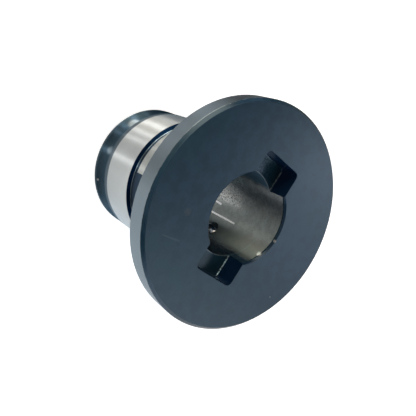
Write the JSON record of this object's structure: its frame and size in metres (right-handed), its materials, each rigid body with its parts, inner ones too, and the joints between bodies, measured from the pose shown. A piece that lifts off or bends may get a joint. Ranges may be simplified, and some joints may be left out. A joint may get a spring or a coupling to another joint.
{
  "type": "tapping chuck adapter",
  "caption": "Reducing adapter for a quick-change tapping chuck: flanged shank with drive dogs, slotted face and a through bore with spring-loaded retaining balls.",
  "frame": {"origin": "centre of the shank's rear end, which the part stands on", "axes": "+Z along the bore to the front face, +X along the drive slots and dogs"},
  "size_m": [0.048, 0.048, 0.041],
  "materials": {
    "blackened_steel": "black oxide, with the shank and the bore ground bare",
    "spring_steel": "ground",
    "bearing_steel": "polished"
  },
  "bodies": {
    "adapter": {"adapter_body": "blackened_steel", "spring_ring": "spring_steel"},
    "ball_1": {"retaining_ball_1": "bearing_steel"},
    "ball_2": {"retaining_ball_2": "bearing_steel"}
  },
  "joints": [
    {"name": "ball_1_slide", "type": "slide", "parent": "adapter", "child": "ball_1", "axis": [0.5299, 0.848, 0], "range_m": [0, 0.00108], "stiffness_N_per_m": 29000, "springref_m": -0.0003, "deforming": ["spring_ring"]},
    {"name": "ball_2_slide", "type": "slide", "parent": "adapter", "child": "ball_2", "axis": [-0.5299, -0.848, 0], "range_m": [0, 0.00108], "stiffness_N_per_m": 29000, "springref_m": -0.0003, "deforming": ["spring_ring"]}
  ]
}
